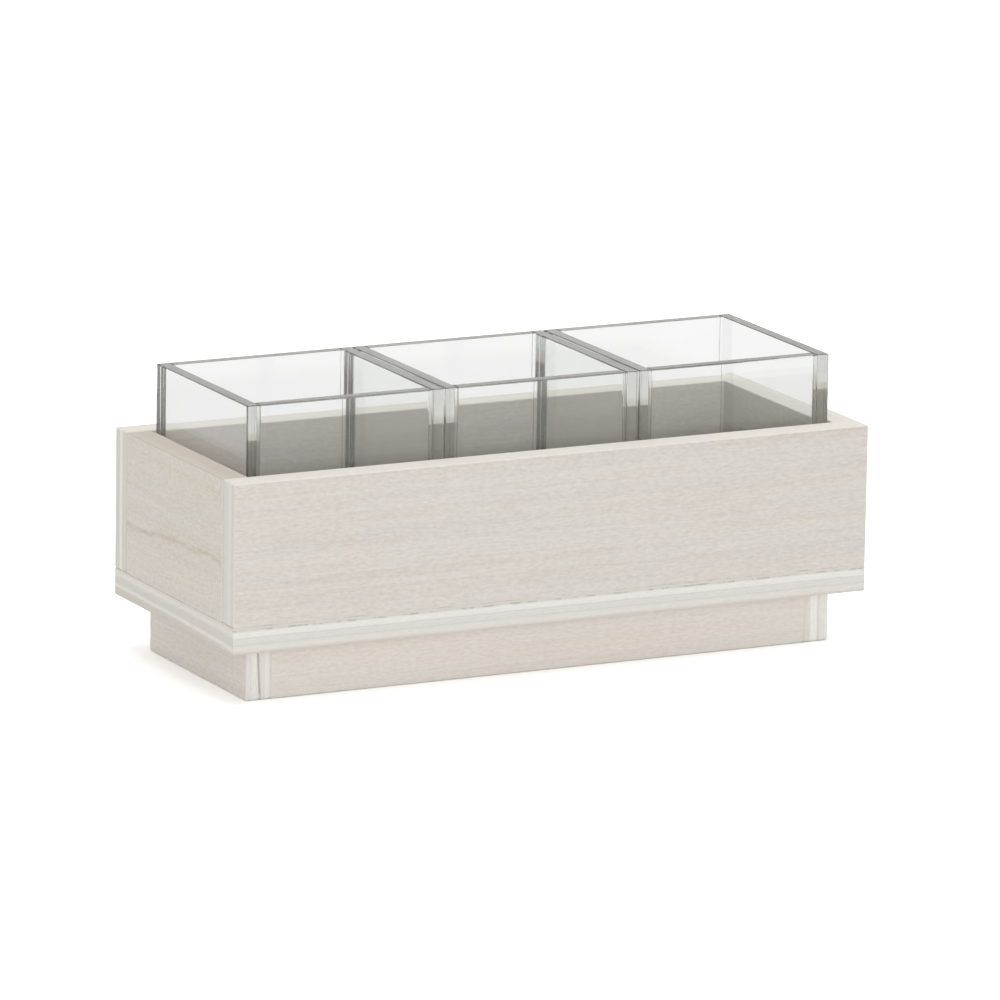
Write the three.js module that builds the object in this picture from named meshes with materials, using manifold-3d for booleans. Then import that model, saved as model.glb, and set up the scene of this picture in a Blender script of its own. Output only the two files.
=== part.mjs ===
// Jar display stand: a white-washed plywood box on a set-back plinth, holding a row of clear acrylic jars
// that lift straight out. Millimetres, +Z up. The front faces -Y, and the origin is the middle of the
// footprint, on the surface that the plinth stands on.

import * as THREE from "three";
import { mergeVertices } from "three/addons/utils/BufferGeometryUtils.js";
import Module from "manifold-3d";

// Box and plinth, all in one plywood
const BOX_LENGTH = 333;
const BOX_DEPTH = 133;
const WALL_HEIGHT = 68.2;
const BOARD = 12.7;
const PLINTH_HEIGHT = 25.7;
const PLINTH_SETBACK = 12.7;
const GLUE_LINE = 0.2;
const EASED_EDGE = 0.6;

// Three-sided glue blocks in the plinth's inner corners, lifted so that they never touch the table
const BLOCK_LEG = 24;
const BLOCK_LIFT = 2;
const BLOCK_BLUNTING = 2.5;
const BLOCK_GAP = 0.3;

// Jars, each cemented from five pieces of quarter-inch sheet
const JAR_NAMES = ["left", "centre", "right"];
const JAR_SIDE = 101.5;
const JAR_HEIGHT = 101;
const JAR_SHEET = 6.35;
const JAR_SPACING = 0.6;
const JAR_SEAT_GAP = 0.1;
const CEMENT_LINE = 0.1;
const POLISHED_EDGE = 0.4;

// Countersunk wood screws
const SCREW_SIDES = 12;
const SCREW_HEAD_RADIUS = 3.5;
const SCREW_HEAD_RIM = 0.4;
const SCREW_HEAD_DEPTH = 2.4;
const SCREW_SHANK_RADIUS = 1.7;
const SCREW_TIP = 4;
const RECESS_LENGTH = 3.8;
const RECESS_WIDTH = 0.8;
const RECESS_DEPTH = 1.3;
const BLOCK_SCREW_LENGTH = 30;
const BLOCK_SCREW_OFFSET = 8.5;
const WALL_SCREW_LENGTH = 35;
const WALL_SCREW_SPACING = 130;

// Brads, driven below the face and filled over
const BRAD_SIDES = 8;
const BRAD_LENGTH = 30;
const BRAD_HEAD_RADIUS = 1.1;
const BRAD_HEAD_DEPTH = 0.8;
const BRAD_SHANK_RADIUS = 0.6;
const BRAD_TIP = 2;
const BRAD_SET = 1.5;
const FASTENER_GAP = 0.3;

// Levels and centre lines that follow from the dimensions above
const BASE_BOTTOM = PLINTH_HEIGHT + GLUE_LINE;
const BASE_TOP = BASE_BOTTOM + BOARD;
const WALL_BOTTOM = BASE_TOP + GLUE_LINE;
const JAR_BOTTOM = BASE_TOP + JAR_SEAT_GAP;
const WALL_X = (BOX_LENGTH - BOARD) / 2;
const WALL_Y = (BOX_DEPTH - BOARD) / 2;
const PLINTH_LENGTH = BOX_LENGTH - 2 * PLINTH_SETBACK;
const PLINTH_DEPTH = BOX_DEPTH - 2 * PLINTH_SETBACK;
const RAIL_X = (PLINTH_LENGTH - BOARD) / 2;
const RAIL_Y = (PLINTH_DEPTH - BOARD) / 2;

const LEFT_AND_RIGHT = [["left", -1], ["right", 1]];
const FRONT_AND_BACK = [["front", -1], ["back", 1]];
const LOWER_AND_UPPER = [["lower", 0.25], ["upper", 0.75]];
const UP = [0, 0, 1];
const TURNING_AXIS = new THREE.Vector3(0, 1, 0);

const wasm = await Module();
wasm.setup();

// Finishes: white-washed plywood, raw pine, clear acrylic and zinc-plated steel

function whiteWashedPlywood() {
  return new THREE.MeshStandardMaterial({ color: 0xddd5ca, roughness: 0.75, metalness: 0 });
}

function rawPine() {
  return new THREE.MeshStandardMaterial({ color: 0xd6b987, roughness: 0.8, metalness: 0 });
}

function clearAcrylic() {
  const look = { color: 0xf1f5f3, roughness: 0.05, metalness: 0, transparent: true, opacity: 0.3 };
  return new THREE.MeshStandardMaterial(look);
}

function zincPlatedSteel() {
  return new THREE.MeshStandardMaterial({ color: 0xb9bcc0, roughness: 0.35, metalness: 1 });
}

/** The closed solid of a geometry, with its shared corners merged and collapsed triangles dropped. */
function solidOf(geometry) {
  const bare = geometry.clone();
  bare.deleteAttribute("normal");
  bare.deleteAttribute("uv");
  const merged = mergeVertices(bare);
  const index = merged.index.array;
  const triangles = [];
  for (let i = 0; i < index.length; i += 3) {
    const [a, b, c] = index.slice(i, i + 3);
    if (a !== b && b !== c && c !== a) {
      triangles.push(a, b, c);
    }
  }
  return new wasm.Manifold(new wasm.Mesh({
    numProp: 3,
    vertProperties: new Float32Array(merged.attributes.position.array),
    triVerts: new Uint32Array(triangles),
  }));
}

/** The geometry of a solid that has been cut. */
function geometryOf(solid) {
  const mesh = solid.getMesh();
  const geometry = new THREE.BufferGeometry();
  geometry.setAttribute("position", new THREE.BufferAttribute(mesh.vertProperties, 3));
  geometry.setIndex(new THREE.BufferAttribute(mesh.triVerts, 1));
  geometry.computeVertexNormals();
  return geometry;
}

/** A flat outline, extruded up from z = 0 with the edges of both its faces eased. */
function easedPlate(corners, height, ease) {
  const outline = new THREE.Shape(corners.map(([x, y]) => new THREE.Vector2(x, y)));
  const geometry = new THREE.ExtrudeGeometry(outline, {
    depth: height - 2 * ease,
    bevelThickness: ease,
    bevelSize: ease,
    bevelOffset: -ease,
    bevelSegments: 1,
  });
  return geometry.translate(0, 0, ease);
}

/** A rectangular board centred over the origin, with all its edges eased. */
function easedBoard([length, depth, height], ease) {
  const x = length / 2;
  const y = depth / 2;
  const corners = [
    [x - ease, -y], [x, -y + ease], [x, y - ease], [x - ease, y],
    [-x + ease, y], [-x, y - ease], [-x, -y + ease], [-x + ease, -y],
  ];
  return easedPlate(corners, height, ease);
}

/** A three-sided block with blunted points, its square corner at the origin and its legs along +X and +Y. */
function glueBlock() {
  const corners = [
    [0, 0],
    [BLOCK_LEG, 0],
    [BLOCK_LEG, BLOCK_BLUNTING],
    [BLOCK_BLUNTING, BLOCK_LEG],
    [0, BLOCK_LEG],
  ];
  return easedPlate(corners, PLINTH_HEIGHT - BLOCK_LIFT - BLOCK_GAP, EASED_EDGE);
}

/** A turned solid whose half-section is given as [radius, distance along the shank] points. */
function turned(section, sides) {
  return new THREE.LatheGeometry(section.map(([radius, along]) => new THREE.Vector2(radius, along)), sides);
}

/** A screw's half-section, from its head's middle to its point, grown all round by a gap for its hole. */
function screwSection(length, gap) {
  return [
    [0, -gap],
    [SCREW_HEAD_RADIUS + gap, -gap],
    [SCREW_HEAD_RADIUS + gap, SCREW_HEAD_RIM + gap],
    [SCREW_SHANK_RADIUS + gap, SCREW_HEAD_DEPTH + gap],
    [SCREW_SHANK_RADIUS + gap, length - SCREW_TIP],
    [0, length + gap],
  ];
}

/** A brad's half-section, from its head's middle to its point, grown all round by a gap for its hole. */
function bradSection(gap) {
  return [
    [0, -gap],
    [BRAD_HEAD_RADIUS + gap, -gap],
    [BRAD_HEAD_RADIUS + gap, BRAD_HEAD_DEPTH + gap],
    [BRAD_SHANK_RADIUS + gap, BRAD_HEAD_DEPTH + gap],
    [BRAD_SHANK_RADIUS + gap, BRAD_LENGTH - BRAD_TIP],
    [0, BRAD_LENGTH + gap],
  ];
}

/** A screw with a cross recess in its head. */
function screwGeometry(length) {
  let screw = solidOf(turned(screwSection(length, 0), SCREW_SIDES));
  for (const [x, z] of [[RECESS_LENGTH, RECESS_WIDTH], [RECESS_WIDTH, RECESS_LENGTH]]) {
    screw = screw.subtract(solidOf(new THREE.BoxGeometry(x, 2 * RECESS_DEPTH, z)));
  }
  return geometryOf(screw);
}

/** A fastener with its head at a point, driven along a direction, that knows the hole it needs. */
function fastener(name, geometry, hole, position, direction) {
  const mesh = new THREE.Mesh(geometry, zincPlatedSteel());
  mesh.name = name;
  mesh.position.set(...position);
  mesh.quaternion.setFromUnitVectors(TURNING_AXIS, new THREE.Vector3(...direction));
  mesh.updateMatrix();
  mesh.userData.hole = hole;
  return mesh;
}

function screw(name, length, position) {
  const hole = turned(screwSection(length, FASTENER_GAP), SCREW_SIDES);
  return fastener(name, screwGeometry(length), hole, position, UP);
}

function brad(name, position, direction) {
  const hole = turned(bradSection(FASTENER_GAP), BRAD_SIDES);
  return fastener(name, turned(bradSection(0), BRAD_SIDES), hole, position, direction);
}

/** Screws up through the base board: into the long walls' lower edges, and one into each end panel. */
function wallScrews() {
  const screws = [];
  for (const [face, sideY] of FRONT_AND_BACK) {
    for (const [place, step] of [["left", -1], ["centre", 0], ["right", 1]]) {
      const position = [step * WALL_SCREW_SPACING, sideY * WALL_Y, BASE_BOTTOM];
      screws.push(screw(`wall_screw_${face}_${place}`, WALL_SCREW_LENGTH, position));
    }
  }
  for (const [end, sideX] of LEFT_AND_RIGHT) {
    screws.push(screw(`wall_screw_${end}_end`, WALL_SCREW_LENGTH, [sideX * WALL_X, 0, BASE_BOTTOM]));
  }
  return screws;
}

/** The glue blocks and, through each, a screw up into the base board. */
function cornerBlocks() {
  const blocks = [];
  const screws = [];
  for (const [face, sideY] of FRONT_AND_BACK) {
    for (const [end, sideX] of LEFT_AND_RIGHT) {
      const cornerX = sideX * (RAIL_X - BOARD / 2 - BLOCK_GAP);
      const cornerY = sideY * (RAIL_Y - BOARD / 2 - BLOCK_GAP);
      const block = new THREE.Mesh(glueBlock(), rawPine());
      block.name = `corner_block_${face}_${end}`;
      block.position.set(cornerX, cornerY, BLOCK_LIFT);
      block.rotation.z = Math.atan2(-sideY, -sideX) - Math.PI / 4;
      blocks.push(block);
      const screwX = cornerX - sideX * BLOCK_SCREW_OFFSET;
      const screwY = cornerY - sideY * BLOCK_SCREW_OFFSET;
      screws.push(screw(`block_screw_${face}_${end}`, BLOCK_SCREW_LENGTH, [screwX, screwY, BLOCK_LIFT]));
    }
  }
  return { blocks, screws };
}

/** Pairs of brads at every corner: through the long walls into the end panels, and likewise in the plinth. */
function cornerBrads() {
  const brads = [];
  for (const [face, sideY] of FRONT_AND_BACK) {
    for (const [end, sideX] of LEFT_AND_RIGHT) {
      for (const [level, share] of LOWER_AND_UPPER) {
        const wallLevel = WALL_BOTTOM + share * WALL_HEIGHT;
        const wallPoint = [sideX * WALL_X, sideY * (BOX_DEPTH / 2 - BRAD_SET), wallLevel];
        brads.push(brad(`box_brad_${face}_${end}_${level}`, wallPoint, [0, -sideY, 0]));
        const railPoint = [sideX * (PLINTH_LENGTH / 2 - BRAD_SET), sideY * RAIL_Y, share * PLINTH_HEIGHT];
        brads.push(brad(`plinth_brad_${face}_${end}_${level}`, railPoint, [-sideX, 0, 0]));
      }
    }
  }
  return brads;
}

function board(name, size, position) {
  const mesh = new THREE.Mesh(easedBoard(size, EASED_EDGE), whiteWashedPlywood());
  mesh.name = name;
  mesh.position.set(...position);
  return mesh;
}

/** The box: long walls that cover the ends of the end panels, all standing on a full-size base board. */
function boxBoards() {
  const longWall = [BOX_LENGTH, BOARD, WALL_HEIGHT];
  const endPanel = [BOARD, BOX_DEPTH - 2 * (BOARD + GLUE_LINE), WALL_HEIGHT];
  const boards = [board("base_board", [BOX_LENGTH, BOX_DEPTH, BOARD], [0, 0, BASE_BOTTOM])];
  for (const [face, sideY] of FRONT_AND_BACK) {
    boards.push(board(`${face}_panel`, longWall, [0, sideY * WALL_Y, WALL_BOTTOM]));
  }
  for (const [end, sideX] of LEFT_AND_RIGHT) {
    boards.push(board(`${end}_end_panel`, endPanel, [sideX * WALL_X, 0, WALL_BOTTOM]));
  }
  return boards;
}

/** The plinth: end rails of the full depth that cover the ends of the front and back rails. */
function plinthBoards() {
  const longRail = [PLINTH_LENGTH - 2 * (BOARD + GLUE_LINE), BOARD, PLINTH_HEIGHT];
  const endRail = [BOARD, PLINTH_DEPTH, PLINTH_HEIGHT];
  const boards = [];
  for (const [face, sideY] of FRONT_AND_BACK) {
    boards.push(board(`plinth_${face}_rail`, longRail, [0, sideY * RAIL_Y, 0]));
  }
  for (const [end, sideX] of LEFT_AND_RIGHT) {
    boards.push(board(`plinth_${end}_rail`, endRail, [sideX * RAIL_X, 0, 0]));
  }
  return boards;
}

/** Cuts the holes that the fasteners need out of one wooden piece. */
function drill(piece, fasteners) {
  piece.updateMatrix();
  const toPiece = piece.matrix.clone().invert();
  let solid = solidOf(piece.geometry);
  for (const mesh of fasteners) {
    const hole = mesh.userData.hole.clone().applyMatrix4(mesh.matrix).applyMatrix4(toPiece);
    solid = solid.subtract(solidOf(hole));
  }
  piece.geometry = geometryOf(solid);
}

/** One jar: a floor sheet, side walls of the full depth on it, and the front and back walls between them. */
function jar(name) {
  const group = new THREE.Group();
  const wallBottom = JAR_SHEET + CEMENT_LINE;
  const wallHeight = JAR_HEIGHT - wallBottom;
  const wallOffset = (JAR_SIDE - JAR_SHEET) / 2;
  const frontLength = JAR_SIDE - 2 * (JAR_SHEET + CEMENT_LINE);
  const sheet = (part, size, position) => {
    const mesh = new THREE.Mesh(easedBoard(size, POLISHED_EDGE), clearAcrylic());
    mesh.name = `${name}_jar_${part}`;
    mesh.position.set(...position);
    group.add(mesh);
  };
  sheet("floor", [JAR_SIDE, JAR_SIDE, JAR_SHEET], [0, 0, 0]);
  for (const [end, sideX] of LEFT_AND_RIGHT) {
    sheet(`${end}_wall`, [JAR_SHEET, JAR_SIDE, wallHeight], [sideX * wallOffset, 0, wallBottom]);
  }
  for (const [face, sideY] of FRONT_AND_BACK) {
    sheet(`${face}_wall`, [frontLength, JAR_SHEET, wallHeight], [0, sideY * wallOffset, wallBottom]);
  }
  return group;
}

const jarDisplayStand = new THREE.Group();
const corners = cornerBlocks();
const fasteners = [...wallScrews(), ...corners.screws, ...cornerBrads()];
const woodenPieces = [...boxBoards(), ...plinthBoards(), ...corners.blocks];
for (const piece of woodenPieces) {
  drill(piece, fasteners);
}
jarDisplayStand.add(...woodenPieces, ...fasteners);

const middleJar = (JAR_NAMES.length - 1) / 2;
JAR_NAMES.forEach((name, index) => {
  const group = jar(name);
  group.position.set((index - middleJar) * (JAR_SIDE + JAR_SPACING), 0, JAR_BOTTOM);
  jarDisplayStand.add(group);
});

export default jarDisplayStand;
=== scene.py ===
"""Looks of the jar display stand.

A white-washed plywood box stands on a set-back plinth and holds three clear acrylic jars, which lift out.
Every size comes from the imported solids. Each board is rebuilt with eased edges and carved plies, each jar
from five polished acrylic sheets, and the screws with thread and cross recess. Beads of filler close the
joints. Metres, +Z up, the front faces -Y.
"""

import logging
import math
from collections.abc import Iterable, Sequence
from dataclasses import dataclass
from enum import Enum
from typing import Any

import bmesh
import bpy
from mathutils import Matrix, Vector


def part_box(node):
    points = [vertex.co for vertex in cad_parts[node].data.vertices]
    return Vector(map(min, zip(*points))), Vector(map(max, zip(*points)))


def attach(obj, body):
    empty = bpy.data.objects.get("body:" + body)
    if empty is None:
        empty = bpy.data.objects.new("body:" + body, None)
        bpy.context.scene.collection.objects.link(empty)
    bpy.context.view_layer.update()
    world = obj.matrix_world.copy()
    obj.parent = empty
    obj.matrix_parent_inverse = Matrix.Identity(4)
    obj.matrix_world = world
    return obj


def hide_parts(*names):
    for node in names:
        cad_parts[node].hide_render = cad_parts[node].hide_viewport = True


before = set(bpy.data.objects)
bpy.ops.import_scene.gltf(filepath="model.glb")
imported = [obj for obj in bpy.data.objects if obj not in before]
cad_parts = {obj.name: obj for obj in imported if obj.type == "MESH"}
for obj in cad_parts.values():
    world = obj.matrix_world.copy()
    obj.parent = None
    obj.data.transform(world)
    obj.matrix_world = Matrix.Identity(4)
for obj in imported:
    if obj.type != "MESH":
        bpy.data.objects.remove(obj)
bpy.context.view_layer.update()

log = logging.getLogger("jar_stand")

MM = 0.001
STAND = "stand"

# Largest distance between two points along the straight side of an outline
OUTLINE_STEP = 2.0 * MM
# Distance between two points along a bead of filler
FILLER_STEP = 0.6 * MM
# Millimetres between the figures that two boards show of the same pattern
FIGURE_STEP = (371.0, 127.0, 53.0)

Socket = bpy.types.NodeSocket
Range = tuple[float, float]
Colour = tuple[float, float, float, float]
Stop = tuple[float, Colour]

WHITE: Colour = (1.0, 1.0, 1.0, 1.0)


def shade(red: float, green: float, blue: float) -> Colour:
    """Turns a colour as a screen shows it into the linear colour that a shader takes.

    Args:
        red: Red from 0 to 255.
        green: Green from 0 to 255.
        blue: Blue from 0 to 255.

    Returns:
        The linear colour, with an alpha of one.
    """
    def linear(value: float) -> float:
        """Undoes the screen's curve for one channel."""
        share = value / 255
        return share / 12.92 if share <= 0.04045 else ((share + 0.055) / 1.055) ** 2.4

    return linear(red), linear(green), linear(blue), 1.0


def tones(*rows: tuple[float, float, float, float]) -> tuple[Stop, ...]:
    """Makes the stops of a colour ramp.

    Args:
        *rows: Position, red, green and blue of each stop, the colours from 0 to 255.

    Returns:
        The stops in order.
    """
    return tuple((position, shade(*colour)) for position, *colour in rows)


def nodes_with(part: str) -> list[str]:
    """The solids that have those letters in their names, in order."""
    return sorted(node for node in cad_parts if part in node)


WALL_SCREWS = nodes_with("wall_screw")
BLOCK_SCREWS = nodes_with("block_screw")


class Axis(Enum):
    """One of the frame's three directions."""

    X = 0
    Y = 1
    Z = 2


def third(first: Axis, second: Axis) -> Axis:
    """The direction that is neither of the two."""
    return next(axis for axis in Axis if axis not in (first, second))


@dataclass(frozen=True)
class Pattern:
    """A noise that is stretched along its directions.

    Attributes:
        lengths: Its size along each direction, in millimetres. On a board these are along the grain, across
            it and through the thickness.
        detail: Octaves of finer pattern.
        rough: Strength of the finer pattern.
    """

    lengths: tuple[float, float, float]
    detail: float = 2.0
    rough: float = 0.5


class NodeSheet:
    """A node tree, with short calls that add nodes and join them."""

    def __init__(self, tree: bpy.types.NodeTree) -> None:
        """Takes a tree over and empties it.

        Args:
            tree: The node tree.
        """
        self.tree = tree
        self.tree.nodes.clear()

    def add(self, kind: str, settings: dict[str, Any] | None = None, **inputs: Any) -> bpy.types.Node:
        """Adds a node.

        Args:
            kind: The node's type.
            settings: Properties to set on the node.
            **inputs: Values or links for its sockets, with underscores for spaces.

        Returns:
            The new node.
        """
        node = self.tree.nodes.new(kind)
        for name, value in (settings or {}).items():
            setattr(node, name, value)
        for name, value in inputs.items():
            self.feed(node.inputs[name.replace("_", " ")], value)
        return node

    def feed(self, socket: Socket, value: Any) -> None:
        """Links a socket to an output, or sets the value on it.

        Args:
            socket: The input socket.
            value: An output socket, a number or a colour.
        """
        if isinstance(value, Socket):
            self.tree.links.new(value, socket)
        else:
            socket.default_value = value

    def math(self, operation: str, first: Any, second: Any = 0.0) -> Socket:
        """Adds a sum of two values.

        Args:
            operation: The Math node's operation.
            first: The first value.
            second: The second value.

        Returns:
            The result's socket.
        """
        node = self.add("ShaderNodeMath", {"operation": operation})
        self.feed(node.inputs[0], first)
        self.feed(node.inputs[1], second)
        return node.outputs[0]

    def choose(self, share: Any, first: bpy.types.Node, second: bpy.types.Node) -> bpy.types.Node:
        """Mixes two shaders.

        Args:
            share: How much of the second one, from 0 to 1.
            first: The first shader.
            second: The second shader.

        Returns:
            The mixing node.
        """
        node = self.add("ShaderNodeMixShader")
        for socket, value in zip(node.inputs, (share, first.outputs[0], second.outputs[0])):
            self.feed(socket, value)
        return node


class ShaderSheet(NodeSheet):
    """A material's node tree."""

    def __init__(self, name: str) -> None:
        """Starts an empty material.

        Args:
            name: The material's name.
        """
        self.material = bpy.data.materials.new(name)
        self.material.use_nodes = True
        super().__init__(self.material.node_tree)
        self.output = self.add("ShaderNodeOutputMaterial")

    def spread(self, value: Any, source: Range, target: Range = (0.0, 1.0)) -> Socket:
        """Maps a range of values to another range, and stops at its ends.

        Args:
            value: The value to map.
            source: Start and end of the range.
            target: What its start and its end become.

        Returns:
            The mapped value's socket.
        """
        node = self.add("ShaderNodeMapRange", {"clamp": True})
        for socket, number in zip(node.inputs, (value, *source, *target)):
            self.feed(socket, number)
        return node.outputs[0]

    def weighted(self, parts: Sequence[Socket], weights: Sequence[float]) -> Socket:
        """Adds up some values, each times its weight.

        Args:
            parts: The values.
            weights: Their weights.

        Returns:
            The sum's socket.
        """
        products = [self.math("MULTIPLY", part, weight) for part, weight in zip(parts, weights)]
        total = products[0]
        for product in products[1:]:
            total = self.math("ADD", total, product)
        return total

    def mix(self, share: Any, first: Any, second: Any, blend: str = "MIX") -> Socket:
        """Mixes two colours.

        Args:
            share: How much of the second colour, from 0 to 1.
            first: The first colour.
            second: The second colour.
            blend: The Mix node's blend type.

        Returns:
            The mixed colour's socket.
        """
        node = self.add("ShaderNodeMix", {"data_type": "RGBA", "blend_type": blend})
        sockets = {socket.identifier: socket for socket in node.inputs}
        self.feed(sockets["Factor_Float"], share)
        self.feed(sockets["A_Color"], first)
        self.feed(sockets["B_Color"], second)
        return next(socket for socket in node.outputs if socket.identifier == "Result_Color")

    def ramp(self, value: Any, stops: Sequence[Stop]) -> Socket:
        """Colours a value from 0 to 1.

        Args:
            value: The value.
            stops: Positions and colours, in order.

        Returns:
            The colour's socket.
        """
        node = self.add("ShaderNodeValToRGB")
        elements = node.color_ramp.elements
        while len(elements) < len(stops):
            elements.new(1.0)
        for element, (position, colour) in zip(elements, stops):
            element.position = position
            element.color = colour
        self.feed(node.inputs[0], value)
        return node.outputs[0]

    def noise(self, vector: Socket, pattern: Pattern) -> Socket:
        """Adds a stretched noise.

        Args:
            vector: Coordinates in millimetres.
            pattern: The noise's size and detail.

        Returns:
            The noise's value socket.
        """
        scale = [1 / length for length in pattern.lengths]
        mapping = self.add("ShaderNodeMapping", Vector=vector, Scale=scale)
        node = self.add("ShaderNodeTexNoise", {"noise_dimensions": "3D"}, Vector=mapping.outputs[0],
                        Scale=1.0, Detail=pattern.detail, Roughness=pattern.rough)
        return node.outputs[0]

    def places(self) -> dict[Axis, Socket]:
        """Gives the place on the piece along each direction.

        Returns:
            A socket for each direction, in metres.
        """
        place = self.add("ShaderNodeTexCoord")
        split = self.add("ShaderNodeSeparateXYZ", Vector=place.outputs["Object"])
        return {axis: split.outputs[axis.value] for axis in Axis}

    def board_space(self, grain: Axis, through: Axis, seed: int) -> Socket:
        """Gives millimetre coordinates along a board's grain, across it and through its thickness.

        Args:
            grain: The direction of the grain.
            through: The direction of the thickness.
            seed: Picks the part of the pattern that the board shows.

        Returns:
            The coordinates' socket.
        """
        places = self.places()
        turned = self.add("ShaderNodeCombineXYZ")
        for socket, axis in zip(turned.inputs, (grain, third(grain, through), through)):
            self.feed(socket, places[axis])
        start = [step * seed for step in FIGURE_STEP]
        mapping = self.add("ShaderNodeMapping", Vector=turned.outputs[0], Location=start, Scale=[1 / MM] * 3)
        return mapping.outputs[0]

    def bump(self, height: Any, strength: float, depth: float) -> Socket:
        """Turns a height into a normal.

        Args:
            height: The height's socket.
            strength: How strongly it shows.
            depth: Depth of the relief, in metres.

        Returns:
            The normal's socket.
        """
        node = self.add("ShaderNodeBump", Strength=strength, Distance=depth, Height=height)
        return node.outputs[0]

    def principled(self, **inputs: Any) -> bpy.types.Node:
        """Adds a Principled shader with those values, with underscores for spaces in their names."""
        return self.add("ShaderNodeBsdfPrincipled", **inputs)

    def surface(self, shader: bpy.types.Node) -> bpy.types.Material:
        """Joins a shader to the output and gives the material."""
        self.feed(self.output.inputs["Surface"], shader.outputs[0])
        return self.material


@dataclass(frozen=True)
class MineralStreak:
    """A thin brown line that wanders along the grain.

    Attributes:
        level: Its place across the grain at the middle of the board, in metres.
        slope: How far it climbs along the grain.
        width: Half its width, in metres.
        wander: How far it leaves its line, in metres.
        bends: Pattern of its bends.
        breaks: Pattern of its gaps.
        colour: Its colour.
    """

    level: float
    slope: float
    width: float = 2.2 * MM
    wander: float = 4.0 * MM
    bends: Pattern = Pattern((26, 40, 40), 3.0)
    breaks: Pattern = Pattern((9, 2.2, 3))
    colour: Colour = shade(194, 183, 164)

    def over(self, sheet: ShaderSheet, space: Socket, grain: Axis, through: Axis, colour: Socket) -> Socket:
        """Draws the streak over a board's colour.

        Args:
            sheet: The material being made.
            space: The board's coordinates.
            grain: Direction of the grain.
            through: Direction of the thickness.
            colour: The colour without the streak.

        Returns:
            The colour with the streak.
        """
        places = sheet.places()
        climb = sheet.math("MULTIPLY", places[grain], self.slope)
        height = sheet.math("SUBTRACT", places[third(grain, through)], self.level)
        line = sheet.math("SUBTRACT", height, climb)
        wander = sheet.spread(sheet.noise(space, self.bends), (0.2, 0.8), (-self.wander, self.wander))
        off = sheet.math("ABSOLUTE", sheet.math("ADD", line, wander))
        near = sheet.spread(off, (0.0, self.width), (1.0, 0.0))
        broken = sheet.spread(sheet.noise(space, self.breaks), (0.36, 0.6), (0.1, 0.72))
        return sheet.mix(sheet.math("MULTIPLY", near, broken), colour, self.colour)


@dataclass(frozen=True)
class WhitewashedVeneer:
    """Thinned white paint rubbed into a pale veneer, so that the grain still shows.

    Attributes:
        shadow: Colour of the late wood and the pores.
        body: The common colour.
        light: Colour where the wash lies thick.
        tint: What the warm clouds leave of red, green and blue.
        clouds: Pattern of the warm clouds.
        sway: Pattern of the grain's slow bends.
        bend: How far it bends, in millimetres.
        bands: Pattern of the broad bands.
        lines: Pattern of the growth lines.
        flecks: Pattern of the short flecks.
        fibres: Pattern of the fine fibres.
        shares: Shares of the bands, lines, flecks and fibres in the tone.
    """

    shadow: Colour = shade(200, 194, 186)
    body: Colour = shade(214, 209, 202)
    light: Colour = shade(226, 223, 217)
    tint: Colour = (1.0, 0.967, 0.92, 1.0)
    clouds: Pattern = Pattern((130, 8, 30), 3.0)
    sway: Pattern = Pattern((240, 50, 50), 1.0)
    bend: float = 4.0
    bands: Pattern = Pattern((420, 5, 40), 3.0, 0.6)
    lines: Pattern = Pattern((110, 1.4, 12))
    flecks: Pattern = Pattern((3.2, 1.2, 2), 2.0, 0.55)
    fibres: Pattern = Pattern((12, 0.45, 4), 2.0, 0.6)
    shares: tuple[float, float, float, float] = (0.22, 0.18, 0.45, 0.15)

    def material(
        self, name: str, grain: Axis, through: Axis, seed: int, warmth: float, streak: MineralStreak | None
    ) -> bpy.types.Material:
        """Makes the veneer for one board.

        Args:
            name: The material's name.
            grain: Direction of the grain.
            through: Direction of the thickness.
            seed: Picks the board's own figure.
            warmth: Strength of the warm clouds, from 0 to 1.
            streak: A streak in the board, if it has one.

        Returns:
            The material.
        """
        sheet = ShaderSheet(name)
        space = sheet.board_space(grain, through, seed)
        sway = sheet.spread(sheet.noise(space, self.sway), (0.0, 1.0), (-self.bend, self.bend))
        shift = sheet.add("ShaderNodeCombineXYZ", Y=sway)
        swayed = sheet.add("ShaderNodeVectorMath", {"operation": "ADD"})
        sheet.feed(swayed.inputs[0], space)
        sheet.feed(swayed.inputs[1], shift.outputs[0])
        figure = swayed.outputs[0]
        layers = [sheet.noise(figure, layer) for layer in (self.bands, self.lines, self.flecks, self.fibres)]
        tone = sheet.weighted(layers, self.shares)
        colour = sheet.ramp(tone, ((0.30, self.shadow), (0.5, self.body), (0.70, self.light)))
        leaning = sheet.spread(sheet.noise(figure, self.clouds), (0.42, 0.68), (0.0, warmth))
        colour = sheet.mix(leaning, colour, self.tint, "MULTIPLY")
        if streak:
            colour = streak.over(sheet, space, grain, through, colour)
        relief = sheet.weighted(layers[2:], (0.5, 0.5))
        return sheet.surface(sheet.principled(
            Base_Color=colour,
            Roughness=sheet.spread(tone, (0.35, 0.65), (0.72, 0.56)),
            Normal=sheet.bump(relief, 0.16, 0.12 * MM),
        ))


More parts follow.
